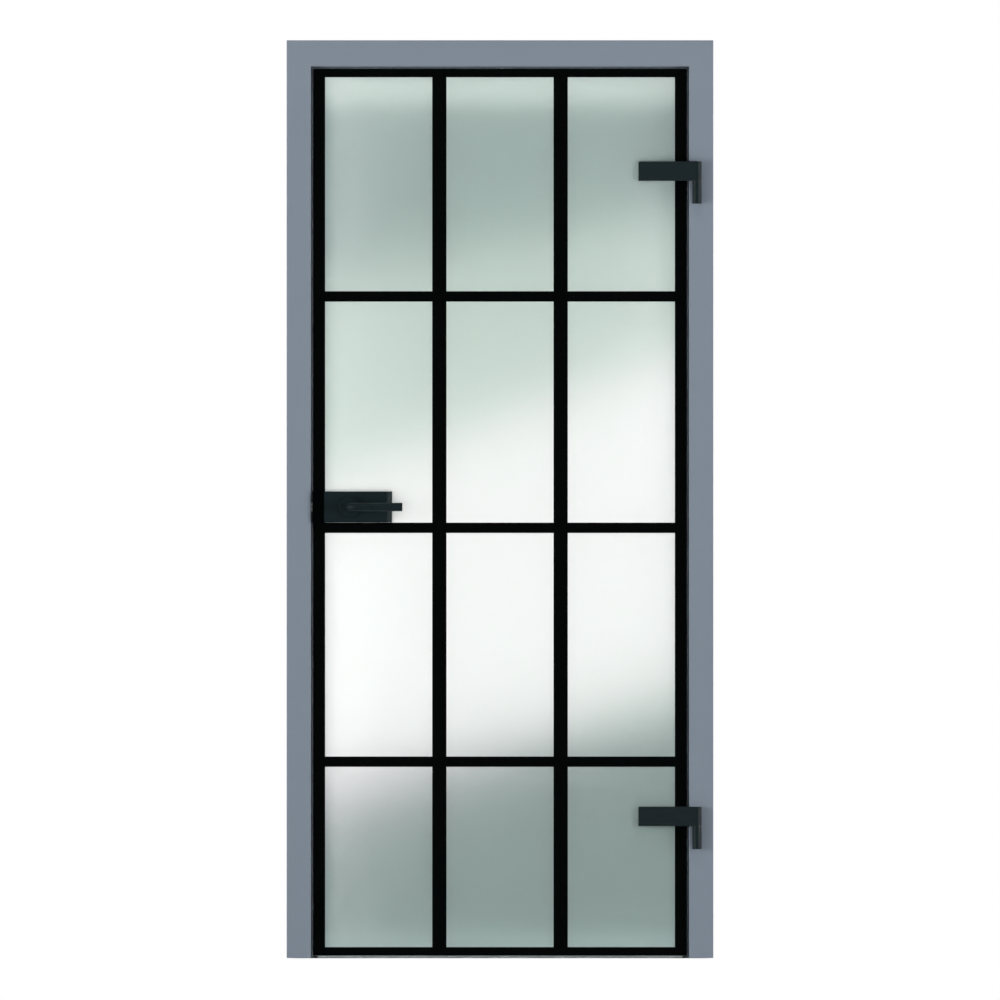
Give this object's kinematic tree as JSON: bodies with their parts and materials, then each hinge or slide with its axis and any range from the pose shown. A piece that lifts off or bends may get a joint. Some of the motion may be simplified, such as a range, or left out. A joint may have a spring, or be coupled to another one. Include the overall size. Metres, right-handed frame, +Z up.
{
  "type": "glazed interior door with frame",
  "caption": "Frameless satin glass door leaf with a black grid, patch hinges and a lever lock, hung in a blue-grey lined frame with architraves on both faces of the wall.",
  "frame": {"origin": "on the floor, at the middle of the door's width and the middle of its overall depth; the face of the wall on the hinge side lies 23 mm in front of it", "axes": "+X towards the hinges, -Y towards the side the leaf opens to, +Z up"},
  "size_m": [0.949, 0.178, 2.041],
  "materials": {
    "grey_lacquer": "blue-grey satin lacquer on fibreboard",
    "black_seal": "soft black rubber",
    "zinc_steel": "zinc-plated steel",
    "satin_steel": "satin stainless steel",
    "bright_steel": "ground steel",
    "spring_steel": "drawn spring wire",
    "nickel_steel": "nickel-plated steel",
    "black_steel": "blackened steel",
    "graphite_coating": "satin graphite-black coating",
    "black_plastic": "matt moulded plastic",
    "black_nylon": "black nylon",
    "fibre_gasket": "compressed fibre sheet",
    "satin_glass": "toughened glass etched to an even satin, with a faint green tint",
    "black_enamel": "baked black ceramic enamel on the glass",
    "brass": "machined brass"
  },
  "bodies": {
    "frame": {"hinge_side_lining": "grey_lacquer", "lock_side_lining": "grey_lacquer", "head_lining": "grey_lacquer", "hinge_side_front_architrave": "grey_lacquer", "lock_side_front_architrave": "grey_lacquer", "head_front_architrave": "grey_lacquer", "hinge_side_rear_architrave": "grey_lacquer", "lock_side_rear_architrave": "grey_lacquer", "head_rear_architrave": "grey_lacquer", "hinge_side_seal": "black_seal", "lock_side_seal": "black_seal", "head_seal": "black_seal", "corner_brackets": "zinc_steel", "corner_bracket_screws": "zinc_steel", "strike_plate": "satin_steel", "strike_box": "black_plastic", "strike_screws": "zinc_steel", "upper_hinge_barrel": "graphite_coating", "lower_hinge_barrel": "graphite_coating", "upper_hinge_pin": "bright_steel", "lower_hinge_pin": "bright_steel", "upper_hinge_receiver": "zinc_steel", "lower_hinge_receiver": "zinc_steel", "receiver_screws": "zinc_steel"},
    "leaf": {"glass_pane": "satin_glass", "black_grid": "black_enamel", "upper_hinge_plate": "graphite_coating", "lower_hinge_plate": "graphite_coating", "upper_hinge_rear_plate": "graphite_coating", "lower_hinge_rear_plate": "graphite_coating", "upper_hinge_bush": "black_nylon", "lower_hinge_bush": "black_nylon", "hinge_front_gaskets": "fibre_gasket", "hinge_rear_gaskets": "fibre_gasket", "hinge_sleeves": "black_nylon", "hinge_clamp_screws": "black_steel", "lock_case": "graphite_coating", "lock_base_plate": "zinc_steel", "lock_front_gasket": "fibre_gasket", "lock_rear_gasket": "fibre_gasket", "lock_rear_plate": "zinc_steel", "lock_rear_cover": "graphite_coating", "lock_sleeves": "black_nylon", "lock_clamp_screws": "black_steel", "front_rose": "graphite_coating", "rear_rose": "graphite_coating", "latch_spring": "spring_steel", "lever_spring": "spring_steel"},
    "lever": {"front_lever": "graphite_coating", "rear_lever": "graphite_coating", "spindle": "bright_steel", "follower": "brass", "lever_grub_screws": "black_steel"},
    "latch": {"latch_bolt": "nickel_steel"}
  },
  "joints": [
    {"name": "leaf_swing", "type": "hinge", "parent": "frame", "child": "leaf", "pos_m": [0.438, -0.047, 0], "axis": [0, 0, 1], "range_deg": [0, 170]},
    {"name": "lever_turn", "type": "hinge", "parent": "leaf", "child": "lever", "pos_m": [-0.335, -0.02, 1.003], "axis": [0, 1, 0], "range_deg": [0, 40], "stiffness_Nm_per_rad": 0.8, "springref_deg": -34.38, "deforming": ["lever_spring"]},
    {"name": "latch_slide", "type": "slide", "parent": "leaf", "child": "latch", "axis": [1, 0, 0], "range_m": [0, 0.011], "stiffness_N_per_m": 200, "springref_m": -0.01, "deforming": ["latch_spring"]}
  ],
  "couplings": [
    {"joint": "latch_slide", "follows": "lever_turn", "m_per_rad": 0.015677}
  ]
}
